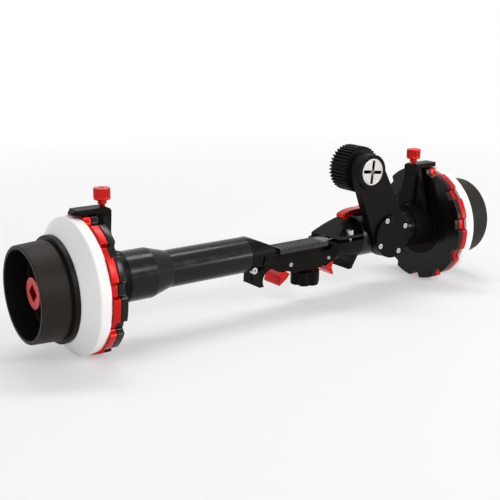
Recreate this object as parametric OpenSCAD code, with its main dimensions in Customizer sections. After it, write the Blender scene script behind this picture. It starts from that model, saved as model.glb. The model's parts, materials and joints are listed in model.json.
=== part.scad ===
// Rod-mounted follow focus: two hand wheels on one cross shaft, a bridge that
// clamps under-slung to a pair of support rods, and a swinging gear arm.
// +X runs along the drive shaft, -Y is the operator's side, +Z is up. The origin
// is midway between the two rod centres.

/* [Rods and reach] */
// Radius of each support rod
rod_r = 7.5; // [7:0.1:8]
// Centre distance of the two rods
rod_gap = 60; // [58:0.5:62]
// Height of the drive shaft above the rod centres
drive_h = 18; // [17:0.5:20]
// From the middle of the rods to the left wheel's front rim
left_reach = 199; // [190:1:240]
// From the middle of the rods to the right wheel's front rim
right_reach = 157; // [155:1:190]

/* [Hand wheel] */
// Outside radius of the grip at its front rim
grip_front_r = 28.6; // [27:0.1:30]
// Outside radius of the grip at its rear end
grip_rear_r = 29.5; // [28:0.1:30.5]
// Length of the gripped cylinder
grip_len = 17; // [15:0.5:18.5]
// Width of the groove between the grip and the flange
groove_w = 1; // [0.6:0.1:1.4]
// Inside radius of the cup in the wheel's face
cup_r = 26; // [24:0.1:26.6]
// Depth of the cup
cup_depth = 15; // [12:0.5:16]
// Radius of the flange that carries the marking disc
flange_r = 31.9; // [31:0.1:33]
// Thickness of that flange
flange_t = 3.4; // [3:0.1:3.8]
// Radius of the whip socket's boss
socket_r = 9.3; // [8:0.1:10]
// How far the boss stops behind the rim
socket_inset = 6.6; // [4:0.1:8]
// Width of the square whip hole
socket_sq = 8; // [7:0.1:9]
// Depth of the square whip hole
socket_depth = 10; // [8:0.5:10.5]

/* [Marking disc] */
// Radius of the marking disc at its widest
disc_r = 41.2; // [40:0.1:42]
// Radius at the disc's rear edge
disc_rear_r = 40.5; // [39.5:0.1:41]
// Axial length of the writing cone
cone_len = 8; // [7:0.1:9]
// Axial length of the disc's rim
disc_rim = 6.8; // [6:0.1:7.5]
// Thickness of the disc's wall
disc_wall = 2.4; // [2:0.1:2.8]
// Number of screws that hold grip, disc and hub together
disc_screws = 4; // [3:1:6]

/* [Stop rings] */
// Number of lobes on each stop ring
lobes = 11; // [9:2:13]
// Radius over the lobes
lobe_r = 41.9; // [41.6:0.1:43]
// Radius at the bottom of the notches
notch_r = 38.4; // [37.5:0.1:39.5]
// Half angle of a notch at its bottom
notch_half = 4.8; // [4:0.1:5.5]
// Half angle of a notch at its mouth
mouth_half = 6.9; // [6:0.1:7.5]
// Thickness of the red ring
red_t = 4.6; // [4:0.1:5]
// Thickness of the black ring
black_t = 4.3; // [4:0.1:4.6]
// Radius of the hub under the red ring
hub_r = 23; // [22:0.1:24]

/* [Index bracket] */
// Radius of the bracket's collar
collar_r = 16.5; // [15.8:0.1:17.5]
// Axial length of the collar
collar_len = 15.5; // [15:0.1:17]
// Width of the upright leg at its top
leg_w = 12; // [11:0.5:13]
// Width of the leg's foot, where it runs into the collar
foot_w = 26; // [24:0.5:28]
// Axial depth of the leg
leg_top = 5.6; // [5.2:0.1:6.5]
// Thickness of the pointer
pointer_t = 2.9; // [2.5:0.1:3.6]
// Width of the pointer
pointer_w = 12; // [10:0.5:12.5]
// How far the pointer reaches over the wheel from the screw
pointer_reach = 21; // [19.5:0.5:22.5]
// Width of the pointer's blunt tip
tip_w = 4.4; // [3:0.1:6]
// Radius of the thumbscrew's shank
thumb_r = 1.7; // [1.5:0.1:2]
// Radius of the thumbscrew's head
thumb_head_r = 5; // [4.5:0.1:5.8]

/* [Tube and shaft] */
// Radius of the tube at the wheel end
tube_big_r = 15.7; // [15:0.1:16]
// Radius of the tube's long part
tube_small_r = 11.8; // [11:0.1:12.5]
// Length of the tube's thick end
tube_big_len = 18; // [15:0.5:22]
// Length of the cone between the two
tube_cone_len = 13.5; // [10:0.5:18]
// Radius of the drive shaft
shaft_r = 4; // [3.6:0.1:4.2]
// Radius of the shaft where it crosses the bridge
waist_r = 2.1; // [1.8:0.1:2.3]
// Radius of the spigots in the bridge
spigot_r = 7.2; // [6.8:0.1:7.6]

/* [Bridge] */
// Half width of the lower block, across the rods
block_y = 9.3; // [9:0.1:10]
// Where the bridge's collar meets the tube
collar_x = -47.3; // [-48.5:0.1:-46]
// Radius of the clamping barrel
barrel_r = 15.5; // [15:0.1:16]
// Right-hand end of the barrel
barrel_end = 45; // [44.5:0.1:46]
// Angle of the barrel's slanted face to the shaft
slant = 27.5; // [26:0.1:29]
// Radius of the pins that the jaws turn on
pin_r = 1.5; // [1.3:0.1:1.7]
// Distance between the two jaw pins
pin_gap = 32.9; // [32.4:0.1:33.2]
// Radius of the clamp knob
clamp_r = 10.4; // [9.8:0.1:11]
// Height of the clamp knob
clamp_h = 9.5; // [8:0.1:11]
// Number of scallops round the clamp knob
clamp_scallops = 6; // [5:1:8]
// Width of the thumb rest's ribs and of the grooves between them
rib_pitch = 3.1; // [2.6:0.1:3.6]
// Number of grooves in the thumb rest
rib_count = 10; // [8:1:11]

// Where the clamp knob's axis stands, from the middle of the rods
clamp_x = 5.2; // [4:0.1:6]
// Left end of the thumb rest
rest_left = -26; // [-26:0.1:-24]
// Right end of the thumb rest
rest_right = 18.9; // [18:0.1:18.9]
// Width of the thumb rest
rest_w = 11.2; // [10:0.1:11.2]
// Thickness of the thumb rest
rest_t = 4; // [3.6:0.1:4.4]
// Radius of the hump over the shaft
hump_r = 3.2; // [3:0.1:3.2]
// Radius of the bridge's clamping screws
clamp_screw_r = 1.45; // [1.2:0.05:1.5]

/* [Gearbox and arm] */
// From the middle of the rods to the arm's pivot
pivot_x = 68.3; // [68:0.1:69]
// Radius of the gearbox drum
drum_r = 16; // [15.6:0.1:16.4]
// Module of all spur gears, pitch diameter over teeth
gear_module = 0.8; // [0.8:0.01:0.81]
// Teeth on the first and the last gear of the arm
end_teeth = 24; // [24:24:24]
// Teeth on each idler
idler_teeth = 21; // [21:2:21]
// Teeth on the lens gear
lens_teeth = 38; // [36:1:40]
// Width of the lens gear
lens_w = 15.6; // [12:0.1:16]
// Lean of the arm from upright, towards the left wheel
lean = 24.6; // [20:0.1:28]
// Radius of the arm round its pivot
arm_pivot_r = 15.6; // [15:0.1:16]
// Radius of the arm round its spindle
arm_tip_r = 12; // [12:0.1:12.6]
// Thickness of the arm's front wall
arm_wall = 1.4; // [1.2:0.1:1.6]
// Thickness of the arm's back plate
arm_back_t = 1.5; // [1.3:0.1:1.6]
// Angle of the first cover screw, seen from the operator
cover_screw_a = 2.4; // [0:0.1:10]
// Length of the lock lever from its screw to its tip
lever_len = 22.2; // [20:0.1:24]

/* [Clearances] */
// Radial clearance of a shaft that turns in its bore
run_fit = 0.05; // [0.03:0.01:0.08]
// Gap between faces that pass each other
face_gap = 0.3; // [0.2:0.05:0.4]
// Gap between a disc and the ring round it
ring_gap = 0.2; // [0.15:0.05:0.3]

/* [Hidden] */
$fn = 96;
black = [0.11, 0.11, 0.115];
dark = [0.07, 0.07, 0.075];
red = [0.72, 0.06, 0.06];
steel = [0.72, 0.73, 0.75];
white = [0.93, 0.93, 0.92];

// Stations along a wheel, measured inwards from its front rim
disc_s = grip_len + groove_w + flange_t;
plate_t = 3;
hub_s = disc_s + plate_t;
hub_flange_t = 3;
disc_end = disc_s + cone_len + disc_rim;
red_s = disc_end + 0.2;
black_s = red_s + red_t + 0.2;
black_end = black_s + black_t;
step_r = hub_r - 2;
step_len = 2.4;
bracket_s = black_end + 1;
bracket_end = bracket_s + collar_len;
bearing_r = 11;
bearing_w = 7;
bearing_s = bracket_s + 3;
spigot_big_r = 13;
spigot_big_len = bracket_end - bearing_s - bearing_w - 0.7;
leg_h = max(lobe_r, disc_r, disc_rear_r) + 0.5;
leg_s = bracket_s + 2.9;
leg_end = leg_s + leg_top;
leg_plate = 0.64 * leg_top;
rib_foot = 0.24 * foot_w;
thumb_s = leg_s + leg_top / 2;
grub_r = 1.3;
grub_s = bracket_end - 2.4;
screw_circle = cup_r - 0.6;
disc_screw_r = 1.25;
shaft_end = socket_inset + socket_depth + 1.2;

// Stations along the drive shaft
tube_start = bracket_end - left_reach;
neck_end = right_reach - bracket_end;
spigot_len = 9.3;
barrel_spigot = 12;

// Rod clamp
rod_x = rod_gap / 2;
rod_z = -drive_h;
jaw_mid = 2.35;
pin_z = -10.1;
bar_z = -9.5;
bar_t = 2.1;
crank_len = 9;
jaw_half = 8.5;
crank_half = 3.5;
stud_r = 2.5;
floor_z = -16;
knob_top = floor_z - 2.8;

// Thumb rest and screws in the bridge
rest_near = -12.8;
rest_z = -0.6;
rest_screw_x = rest_right - 4.9;
rest_screw_y = rest_near + 6.3;
barrel_screw_x = barrel_end - 9.6;
barrel_screw_y = -11.4;
shelf_z = 4.1;
collar_screw_x = collar_x + 2.4;
slit_x = collar_x + 8.5;
shoulder_0 = 9;
shoulder_1 = 23;
collar_screw_z = -9;

// Gear arm
pitch_end = gear_module * end_teeth / 2;
pitch_idler = gear_module * idler_teeth / 2;
idler_1 = pitch_end + pitch_idler;
idler_2 = idler_1 + 2 * pitch_idler;
arm_len = idler_2 + pitch_idler + pitch_end;
drum_front = -11.2;
arm_rear = drum_front - face_gap;
back_in = arm_rear - arm_back_t;
gear_back = back_in - 0.8;
gear_w = 2.5;
arm_front = gear_back - gear_w - face_gap - arm_wall;
cover_t = 2.3;
cover_front = arm_front - cover_t;
boss_r = 12;
journal_r = 4;
seat_r = 5;
lens_front = arm_rear + 2.5;
bearing_bore = 9;
neck_bearing_x = barrel_end + 4;
cross_r = 3;
cross_seat_r = 8;
cap_y = 11.5;
cap_r = 13;
cap_t = 3.7;
lever_x = barrel_end + 12.5;
lever_z = barrel_r + 0.3;
cover_screw_c = 13;
screw_disc_r = 9.1;
cavity_r = pitch_end + gear_module + 0.4;
mouth_r = cavity_r - 0.2;
bevel_teeth = 24;
bevel_d = 9;
bevel_w = 3.5;
bevel_root = 41;
bevel_tip = 48.4;
main_bearing_x = pivot_x + bevel_d + 2.7;

module on_axis() {
    translate([0, 0, drive_h]) children();
}

// Wheel frame: z runs inwards from the front rim, y is up, x is the +Y direction
module at_wheel(left) {
    translate([left ? -left_reach : right_reach, 0, drive_h])
        mirror([left ? 0 : 1, 0, 0])
            rotate([90, 0, 90]) children();
}

// Solid of revolution from (radius, station) points in the wheel frame
module turned(points) {
    rotate_extrude() polygon(points);
}

// Cylinder along the drive shaft between two stations
module along_x(x0, x1, r) {
    translate([x0, 0, 0]) rotate([0, 90, 0]) cylinder(h = x1 - x0, r = r);
}

// Cylinder across the drive shaft, between two depths
module along_y(x, z, y0, y1, r) {
    translate([x, y1, z]) rotate([90, 0, 0]) cylinder(h = y1 - y0, r = r);
}

// Outline in the X-Z plane, extruded between two depths
module plate_y(y0, y1) {
    translate([0, y1, 0]) rotate([90, 0, 0]) linear_extrude(y1 - y0) children();
}

module disc_screw_places() {
    for (k = [0 : disc_screws - 1])
        rotate([0, 0, 45 + 360 * k / disc_screws])
            translate([screw_circle, 0, 0]) children();
}

module grip() {
    color(dark) difference() {
        turned([[0, 0], [grip_front_r, 0], [grip_rear_r, grip_len], [grip_rear_r - 1, grip_len],
            [grip_rear_r - 1, grip_len + groove_w], [flange_r, grip_len + groove_w], [flange_r, disc_s],
            [0, disc_s]]);
        translate([0, 0, -1]) cylinder(h = cup_depth + 1, r = cup_r);
        cylinder(h = disc_s + 1, r = socket_r);
        disc_screw_places() translate([0, 0, cup_depth + 2]) cylinder(h = disc_s, r = disc_screw_r);
    }
}

module socket() {
    color(red) difference() {
        translate([0, 0, socket_inset]) cylinder(h = hub_s - socket_inset, r = socket_r);
        rotate([0, 0, 45]) translate([-socket_sq / 2, -socket_sq / 2, socket_inset - 1])
            cube([socket_sq, socket_sq, socket_depth + 1]);
        translate([0, 0, shaft_end]) cylinder(h = hub_s, r = shaft_r);
    }
}

module disc() {
    bore = hub_r - 3;
    cone_s = disc_s + cone_len;
    color(white) difference() {
        turned([[bore, disc_s], [flange_r, disc_s], [disc_r, cone_s], [disc_rear_r, disc_end],
            [disc_rear_r - disc_wall, disc_end], [disc_r - disc_wall - 0.6, cone_s + 1.3],
            [flange_r - 0.9, hub_s], [bore, hub_s]]);
        disc_screw_places() cylinder(h = hub_s + 1, r = disc_screw_r);
    }
}

module disc_screw_set() {
    back = hub_s + hub_flange_t;
    color(steel) disc_screw_places() {
        translate([0, 0, cup_depth + 2]) cylinder(h = back - cup_depth - 2, r = disc_screw_r);
        difference() {
            translate([0, 0, back]) cylinder(h = 2, r = 2.2);
            translate([0, 0, back + 1]) cylinder(h = 2, r = 1.2, $fn = 6);
        }
    }
}

module hub() {
    back = black_s + step_len;
    color(dark) difference() {
        turned([[shaft_r, hub_s], [screw_circle + 4.2, hub_s],
            [screw_circle + 4.2, hub_s + hub_flange_t], [hub_r, hub_s + hub_flange_t],
            [hub_r, black_s - 0.1], [step_r, black_s - 0.1], [step_r, back + 0.1],
            [step_r - 2, back + 0.1], [step_r - 2, back + 1.9], [shaft_r, back + 1.9]]);
        turned([[socket_r, hub_s - 1], [hub_r - 3, hub_s - 1], [hub_r - 3, black_s - 4],
            [socket_r, black_s - 4]]);
        disc_screw_places() cylinder(h = hub_s + hub_flange_t + 1, r = disc_screw_r);
    }
}

module retainer() {
    back = black_s + step_len + 0.1;
    color(dark) difference() {
        translate([0, 0, back]) cylinder(h = 1, r = step_r + 1.4);
        translate([0, 0, back - 1]) cylinder(h = 3, r = step_r - 2);
    }
}

// Lobed ring with a notch at the bottom, so that it stands on two lobes
module lobed(s, t) {
    translate([0, 0, s]) linear_extrude(t) difference() {
        circle(lobe_r, $fn = 180);
        for (k = [0 : lobes - 1]) {
            a = -90 + 360 * k / lobes;
            polygon([for (j = [-3 : 3]) let (b = a + notch_half * j / 3) notch_r * [cos(b), sin(b)],
                (lobe_r + 2) * [cos(a + mouth_half + 1), sin(a + mouth_half + 1)],
                (lobe_r + 2) * [cos(a - mouth_half - 1), sin(a - mouth_half - 1)]]);
        }
    }
}

module grub_place() {
    rotate([0, 0, 90 + 360 / lobes]) translate([0, 0, red_s + red_t / 2]) rotate([0, 90, 0]) children();
}

module red_ring() {
    color(red) difference() {
        lobed(red_s, red_t);
        translate([0, 0, red_s - 1]) cylinder(h = red_t + 2, r = hub_r + run_fit);
        grub_place() cylinder(h = lobe_r + 1, r = 1.5);
    }
}

module red_grub() {
    color(steel) grub_place() difference() {
        translate([0, 0, hub_r + 0.1]) cylinder(h = lobe_r - hub_r - 0.9, r = 1.5);
        translate([0, 0, lobe_r - 2.6]) cylinder(h = 3, r = 0.8, $fn = 6);
    }
}

module black_ring() {
    color(black) difference() {
        lobed(black_s, black_t);
        translate([0, 0, black_s - 1]) cylinder(h = black_t + 2, r = step_r + run_fit);
        translate([0, 0, black_s + step_len]) cylinder(h = black_t, r = step_r + 1.9);
        translate([0, 0, black_end - 0.8]) cylinder(h = 1, r = 28);
    }
}

module bearing() {
    color(steel) difference() {
        translate([0, 0, bearing_s]) cylinder(h = bearing_w, r = bearing_r);
        translate([0, 0, bearing_s - 1]) cylinder(h = bearing_w + 2, r = shaft_r + run_fit);
        translate([0, 0, bearing_s - 1]) turned([[6.5, 0], [9, 0], [9, 1.6], [6.5, 1.6]]);
    }
}

// Radial grub screw that holds the collar on its spigot
module collar_grub_place() {
    rotate([0, 0, 100]) translate([0, 0, grub_s]) rotate([0, 90, 0]) children();
}

// Leg: a plate that widens to the collar, with a rib that narrows downwards
module leg() {
    w = leg_w / 2;
    f = foot_w / 2;
    waist = w + 0.3 * (f - w);
    translate([0, 0, leg_s]) linear_extrude(leg_plate)
        polygon([[-w, leg_h], [w, leg_h], [w, leg_h - 2], [waist, leg_h - 9], [f, collar_r + 1],
            [f, collar_r / 3], [-f, collar_r / 3], [-f, collar_r + 1], [-waist, leg_h - 9],
            [-w, leg_h - 2]]);
    translate([0, 0, leg_s + leg_plate / 2]) linear_extrude(leg_top - leg_plate / 2)
        polygon([[-w + 0.1, leg_h], [w - 0.1, leg_h], [w - 0.1, leg_h - 1.8], [rib_foot / 2, collar_r + 1],
            [rib_foot / 2, collar_r / 2], [-rib_foot / 2, collar_r / 2], [-rib_foot / 2, collar_r + 1],
            [-w + 0.1, leg_h - 1.8]]);
}

module bracket() {
    color(black) difference() {
        union() {
            translate([0, 0, bracket_s]) cylinder(h = collar_len, r = collar_r);
            leg();
        }
        translate([0, 0, bracket_s - 1]) cylinder(h = 5, r = bearing_r - 2);
        translate([0, 0, bearing_s]) cylinder(h = bearing_w + 1, r = bearing_r);
        translate([0, 0, bracket_end - spigot_big_len]) cylinder(h = spigot_big_len + 1, r = spigot_big_r);
        translate([0, leg_h - 11, thumb_s]) rotate([-90, 0, 0]) cylinder(h = 12, r = thumb_r + run_fit);
        collar_grub_place() cylinder(h = collar_r + 1, r = grub_r);
    }
}

module bracket_screw_set() {
    color(steel) collar_grub_place() difference() {
        translate([0, 0, spigot_big_r + run_fit]) cylinder(h = collar_r - spigot_big_r - 0.4, r = grub_r);
        translate([0, 0, collar_r - 1.4]) cylinder(h = 2, r = 0.65, $fn = 6);
    }
}

// Pointer: what three prisms have in common, seen from the side, the top and the end
module pointer() {
    tip = thumb_s - pointer_reach;
    half = pointer_w / 2;
    top = leg_h + pointer_t;
    edge = 1.2;
    slope = (pointer_t - 0.9) / 2.6;
    color(black) difference() {
        intersection() {
            rotate([0, -90, 0]) translate([0, 0, -half - 1]) linear_extrude(pointer_w + 2)
                polygon([[tip - 0.5, leg_h], [leg_end, leg_h], [leg_end, top - 2.1],
                    [leg_end - 0.7, top - 0.7], [leg_end - 2.1, top], [tip + 2.6, top],
                    [tip - 0.5, leg_h + 0.9 - slope / 2]]);
            translate([0, leg_h - 1, 0]) rotate([-90, 0, 0]) linear_extrude(pointer_t + 2)
                polygon([[-half, -leg_end - 1], [half, -leg_end - 1], [half, -tip - 3.8], [tip_w / 2, -tip],
                    [-tip_w / 2, -tip], [-half, -tip - 3.8]]);
            linear_extrude(leg_end + 1) polygon([[-half - 1, leg_h - 1], [half + 1, leg_h - 1],
                [half + 1, top - edge - 1], [half - edge - 1, top + 1], [edge + 1 - half, top + 1],
                [-half - 1, top - edge - 1]]);
        }
        translate([0, leg_h - 1, thumb_s]) rotate([-90, 0, 0])
            cylinder(h = pointer_t + 2, r = thumb_r + run_fit);
    }
}

module thumbscrew() {
    neck = leg_h + pointer_t + 0.1;
    head = neck + 3.7;
    color(red) difference() {
        union() {
            translate([0, leg_h - 10, thumb_s]) rotate([-90, 0, 0])
                cylinder(h = neck - leg_h + 12, r = thumb_r);
            translate([0, neck + 1.3, thumb_s]) rotate([-90, 0, 0]) cylinder(h = 3, r = 1.6 * thumb_r);
            translate([0, head, thumb_s]) rotate([-90, 0, 0]) cylinder(h = 7, r = thumb_head_r);
        }
        for (k = [0 : 17]) translate([0, head + 1, thumb_s]) rotate([-90, 20 * k, 0])
            translate([thumb_head_r + 0.2, 0, 0]) cylinder(h = 5, r = 0.5, $fn = 6);
    }
}

module main_shaft() {
    left_end = shaft_end - left_reach;
    right_end = right_reach - shaft_end;
    waist_0 = collar_x + spigot_len + 1.5;
    waist_1 = barrel_end - barrel_spigot - 1;
    color(steel) on_axis() {
        along_x(left_end, waist_0, shaft_r);
        along_x(waist_0, waist_1, waist_r);
        along_x(waist_1, right_end, shaft_r);
    }
}

module extension_tube() {
    start = tube_start - spigot_big_len;
    cone_0 = tube_start + tube_big_len;
    cone_1 = cone_0 + tube_cone_len;
    tip = collar_x + spigot_len;
    color(black) on_axis() difference() {
        rotate([0, 90, 0]) turned([[0, start], [spigot_big_r, start], [spigot_big_r, tube_start],
            [tube_big_r, tube_start], [tube_big_r, cone_0],
            [tube_small_r, cone_1], [tube_small_r, collar_x], [spigot_r, collar_x],
            [spigot_r, tip], [0, tip]]);
        along_x(start - 1, collar_x - 4, tube_small_r - 2.8);
        along_x(tube_start, tip + 1, shaft_r + run_fit);
    }
}

// The bridge's own pieces
module bridge_outline() {
    polygon([[-30.7, -4.6], [-35.6, -8], [-39.4, -10.5], [-40.2, -21.6], [-36.4, -21.6], [-30, -13],
        [-24, -13],
        [-16, -14.4], [-12, floor_z], [12, floor_z], [16, -14.4], [24, -13], [30, -13],
        [36.4, -21.6], [39.6, -21.6], [barrel_end, -12.9], [barrel_end, -2], [21.5, -1.5], [16, -4.6]]);
}

module collar_cut() {
    polygon([[collar_x - 1, tube_small_r + 6], [collar_x, tube_small_r], [-42, 10.5], [-37.7, 8.9],
        [-33.6, 7.1], [-30.4, 5], [-28, 2.6], [-29, -1], [-30.7, -4.6], [-31.5, -13], [-26, -13],
        [-26, tube_small_r + 6]]);
}

module slant_cut() {
    reach = 60;
    translate([barrel_end + 2.5, 15]) rotate(slant) translate([-reach, 0]) square([reach + 20, 30]);
}

module bridge_body() {
    pocket_0 = jaw_mid - pin_gap / 2 - 6;
    pocket_1 = jaw_mid + pin_gap / 2 + 3.4;
    floor_0 = jaw_mid - pin_gap / 2 + 3.4;
    floor_1 = jaw_mid + pin_gap / 2 - 5;
    color(black) on_axis() difference() {
        union() {
            plate_y(-block_y, block_y) bridge_outline();
            plate_y(-jaw_half, jaw_half) translate([-33, -5]) square([54, 4.4]);
            along_x(-36, 24, hump_r);
            // shoulder that widens the block to the barrel
            intersection() {
                translate([shoulder_0, 0, 0]) rotate([0, 90, 0])
                    cylinder(h = shoulder_1 - shoulder_0, r1 = block_y + 0.4, r2 = barrel_r);
                plate_y(-20, 20) polygon([[shoulder_0 - 1, -4.6], [13, -4.6], [16.5, -3.4], [19, -0.8],
                    [19, 0], [shoulder_1 + 1, 0], [shoulder_1 + 1, -13.3], [shoulder_0 - 1, -13.3]]);
            }
            difference() {
                along_x(collar_x, -27, tube_small_r);
                plate_y(-20, 20) collar_cut();
            }
            difference() {
                along_x(shoulder_1 - 0.1, barrel_end, barrel_r);
                plate_y(-20, 20) slant_cut();
                plate_y(-20, 20) translate([15, -20]) square([9.5, 6.6]);
            }
        }
        // shaft way and the two spigot bores
        along_x(collar_x - 1, barrel_end + 1, waist_r + 0.5);
        along_x(collar_x - 1, collar_x + spigot_len + 1.5, spigot_r);
        along_x(barrel_end - barrel_spigot - 1, barrel_end + 1, spigot_r);
        // slits and the shelf that let the two ends close on their spigots
        translate([19, -20, 0.1]) cube([30, 20, 2.3]);
        translate([19, 0, 0]) rotate([90, 0, 90]) linear_extrude(30)
            polygon([[-30, shelf_z], [-9.5, shelf_z], [5, 20], [-30, 20]]);
        translate([barrel_screw_x, barrel_screw_y, shelf_z]) cylinder(h = 12, r = 2.95);
        translate([collar_x - 1, -0.6, -20]) cube([12, 1.2, 18]);
        translate([slit_x, -20, -6.7]) cube([1.4, 14.5, 6.8]);
        // screw seats
        translate([barrel_screw_x, barrel_screw_y, -9]) cylinder(h = 14, r = clamp_screw_r + 0.05);
        along_y(collar_screw_x, collar_screw_z, -15, -8, 2.5);
        along_y(collar_screw_x, collar_screw_z, -9, 12, clamp_screw_r + 0.05);
        // rods, jaw pocket and pins
        for (side = [-1, 1]) along_y(side * rod_x, rod_z, -20, 20, rod_r);
        translate([pocket_0, -crank_half - face_gap, bar_z - 3.9])
            cube([pocket_1 - pocket_0, 2 * (crank_half + face_gap), 8.6]);
        translate([pocket_0, -crank_half - face_gap, -20])
            cube([floor_0 - pocket_0, 2 * (crank_half + face_gap), 12]);
        translate([floor_1, -crank_half - face_gap, -20])
            cube([pocket_1 - floor_1, 2 * (crank_half + face_gap), 12]);
        for (side = [-1, 1]) along_y(jaw_mid + side * pin_gap / 2, pin_z, -20, 20, pin_r);
        translate([clamp_x, 0, floor_z - 1]) cylinder(h = 5, r = stud_r + run_fit);
        // thumb rest screw
        translate([rest_screw_x, rest_screw_y, -5]) cylinder(h = 6, r = 1.2);
    }
}

module collar_screw() {
    color(steel) on_axis() {
        difference() {
            along_y(collar_screw_x, collar_screw_z, -10.6, -8, 2.2);
            along_y(collar_screw_x, collar_screw_z, -12, -9.4, 1.1, $fn = 6);
        }
        along_y(collar_screw_x, collar_screw_z, -8, 5, clamp_screw_r);
    }
}

module barrel_screw() {
    color(steel) on_axis() translate([barrel_screw_x, barrel_screw_y, shelf_z]) {
        difference() {
            cylinder(h = 3.3, r = 2.75);
            translate([0, 0, 1.5]) cylinder(h = 3, r = 1.25, $fn = 6);
        }
        translate([0, 0, -12.1]) cylinder(h = 12.1, r = clamp_screw_r);
    }
}

module thumb_rest() {
    half = rest_w / 2;
    top = rest_z + rest_t;
    color(dark) on_axis() difference() {
        translate([0, rest_near, rest_z]) linear_extrude(rest_t) union() {
            translate([rest_left, 0]) square([rest_right - rest_left - half, rest_w]);
            translate([rest_right - half, half]) circle(half);
        }
        along_x(rest_left - 1, rest_right + 1, hump_r + 0.1);
        for (k = [0 : rib_count - 1])
            translate([rest_left + 1.4 + rib_pitch * k, rest_near - 1, top - 0.8]) rotate([0, 0, -4])
                cube([rib_pitch / 2, rest_w + 3, 2]);
        translate([rest_screw_x, rest_screw_y, rest_z - 1]) cylinder(h = 6, r = 1.2);
        translate([rest_screw_x, rest_screw_y, top - 1.3]) cylinder(h = 3, r = 2.3);
    }
}

module rest_screw() {
    head_z = rest_z + rest_t - 1.3;
    color(steel) on_axis() translate([rest_screw_x, rest_screw_y, head_z]) {
        difference() {
            cylinder(h = 1.2, r = 2.2);
            translate([-3, -0.3, 0.6]) cube([6, 0.6, 2]);
        }
        translate([0, 0, -6.6]) cylinder(h = 6.6, r = 1.15);
    }
}

// Rod jaw: a bell crank on its pin, drawn for the left side about the pin
module jaw_shape(outer, neck) {
    difference() {
        union() {
            plate_y(-jaw_half, jaw_half) polygon(outer);
            plate_y(-crank_half, crank_half) {
                polygon([[-2.9, 0.4], [2.2, -2], [0, -5.6], [-neck, -4.4]]);
                polygon([[0, -2.4], [crank_len, -2.2], [crank_len, 0.4], [0, 1.2]]);
            }
            along_y(0, 0, -crank_half, crank_half, 2.9);
            along_y(crank_len, -0.9, -crank_half, crank_half, 1.4);
        }
        along_y(0, 0, -10, 10, pin_r + run_fit);
    }
}

module left_jaw() {
    px = jaw_mid - pin_gap / 2;
    color(red) on_axis() difference() {
        translate([px, 0, pin_z])
            jaw_shape([[-10, -3.6], [-2.4, -5], [-0.4, -6.5], [-3.2, -9.7], [-9.1, -13.5]], 5.6);
        along_y(-rod_x, rod_z, -20, 20, rod_r + 0.1);
        translate([-25, -20, rod_z - 0.6]) cube([3, 40, 1.2]);
    }
}

module right_jaw() {
    px = jaw_mid + pin_gap / 2;
    color(red) on_axis() difference() {
        translate([px, 0, pin_z]) mirror([1, 0, 0])
            jaw_shape([[-5.2, -3.6], [-0.6, -4.6], [2, -6.2], [0.2, -9.7], [-4.4, -13.5]], 2.9);
        along_y(rod_x, rod_z, -20, 20, rod_r + 0.1);
        translate([22, -20, rod_z - 0.6]) cube([3, 40, 1.2]);
    }
}

module jaw_pins() {
    color(steel) on_axis() for (side = [-1, 1])
        along_y(jaw_mid + side * pin_gap / 2, pin_z, -block_y, block_y, pin_r);
}

module draw_bar() {
    left = jaw_mid - pin_gap / 2 + crank_len - 1.6;
    right = jaw_mid + pin_gap / 2 - crank_len + 1.6;
    color(steel) on_axis() difference() {
        translate([left, -crank_half, bar_z]) cube([right - left, 2 * crank_half, bar_t]);
        translate([clamp_x, 0, bar_z - 1]) cylinder(h = bar_t + 2, r = stud_r + run_fit);
    }
}

module clamp_knob() {
    color(black) on_axis() translate([clamp_x, 0, 0]) difference() {
        union() {
            translate([0, 0, knob_top - clamp_h]) cylinder(h = clamp_h, r = clamp_r);
            translate([0, 0, knob_top - 1]) cylinder(h = floor_z - knob_top + 0.9, r = 5);
            translate([0, 0, knob_top]) cylinder(h = bar_z + bar_t - knob_top - 0.2, r = stud_r);
        }
        for (k = [0 : clamp_scallops - 1]) rotate([0, 0, 15 + 360 * k / clamp_scallops])
            translate([clamp_r + 1.2, 0, knob_top - clamp_h - 1]) cylinder(h = clamp_h + 2, r = 3.3);
    }
}

module lock_lever() {
    tip_x = lever_x - lever_len;
    color(red) on_axis() difference() {
        union() {
            plate_y(-3.4, 3.4) polygon([[tip_x + 2.2, lever_z - 2.9], [tip_x + 5, lever_z - 2.2],
                [tip_x + 9, lever_z - 0.2], [lever_x, lever_z], [lever_x, lever_z + 3.2],
                [lever_x - 8, lever_z + 3.5], [lever_x - 14, lever_z + 3.1], [tip_x + 4, lever_z + 2.2],
                [tip_x + 1.6, lever_z + 1.2]]);
            along_y(tip_x + 2.2, lever_z - 0.8, -3.4, 3.4, 2.2);
            translate([lever_x, 0, lever_z]) cylinder(h = 3.2, r = 4.6);
        }
        translate([lever_x, 0, lever_z - 1]) cylinder(h = 8, r = 1.6 + run_fit);
        translate([lever_x, 0, lever_z + 1.9]) cylinder(h = 8, r = 2.9);
    }
}

module lever_screw() {
    color(steel) on_axis() translate([lever_x, 0, lever_z]) difference() {
        union() {
            translate([0, 0, -4]) cylinder(h = 6, r = 1.6);
            translate([0, 0, 2]) cylinder(h = 1.1, r = 2.7);
        }
        translate([0, 0, 2.5]) cylinder(h = 2, r = 1.2, $fn = 6);
    }
}

// Space that the arm sweeps in front of the drum, between its two stops
module arm_sweep() {
    r = arm_pivot_r + 0.5;
    translate([pivot_x, 0, 0]) plate_y(-30, drum_front) union() {
        circle(r);
        for (a = [0, 15, 30]) rotate(lean - a) translate([-r, 0]) square([2 * r, arm_len]);
    }
}

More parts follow.
